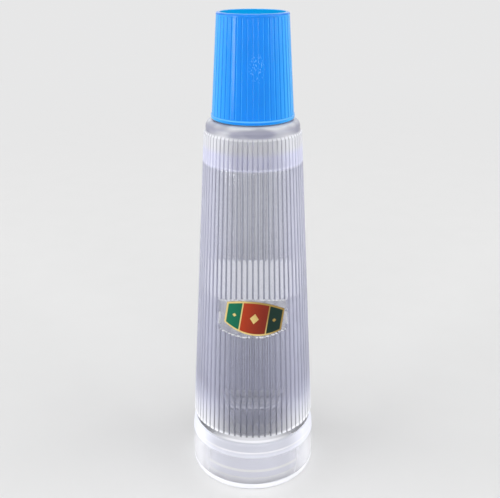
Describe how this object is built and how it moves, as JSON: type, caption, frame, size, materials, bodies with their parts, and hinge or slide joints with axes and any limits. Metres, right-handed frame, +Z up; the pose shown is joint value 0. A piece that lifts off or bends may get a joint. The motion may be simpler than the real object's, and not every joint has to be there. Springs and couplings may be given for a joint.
{
  "type": "liquid glue bottle",
  "caption": "Clear ribbed conical bottle of liquid paper glue on a smooth round foot, with a ribbed blue screw cap over a sponge applicator and a foil badge on a front panel.",
  "frame": {"origin": "centre of the foot's underside, on the surface that the bottle stands on", "axes": "+Z up along the bottle's axis, front with the badge towards -Y, +X to the right seen from the front"},
  "size_m": [0.0364, 0.0364, 0.132],
  "materials": {
    "clear_plastic": "clear moulded plastic with a faint lavender tint",
    "milky_plastic": "milky translucent moulded plastic",
    "liquid_glue": "clear liquid",
    "badge_foil": "printed metallic foil with a gold border",
    "white_plastic": "satin moulded polyethylene",
    "sponge_foam": "fine open-cell foam",
    "seal_foam": "closed-cell foam sheet",
    "cap_blue": "semi-gloss moulded plastic"
  },
  "bodies": {
    "bottle": {"barrel": "clear_plastic", "base_cup": "milky_plastic", "glue": "liquid_glue", "badge": "badge_foil", "neck_plug": "white_plastic", "sponge_tip": "sponge_foam", "sponge_ring": "white_plastic"},
    "seal": {"cap_seal": "seal_foam"},
    "cap": {"cap_shell": "cap_blue"}
  },
  "joints": [
    {"name": "cap_lift", "type": "slide", "parent": "bottle", "child": "seal", "axis": [0, 0, 1], "range_m": [0, 0.04]},
    {"name": "cap_turn", "type": "hinge", "parent": "seal", "child": "cap", "pos_m": [0, 0, 0.1185], "axis": [0, 0, 1], "range_deg": [0, 720]}
  ]
}
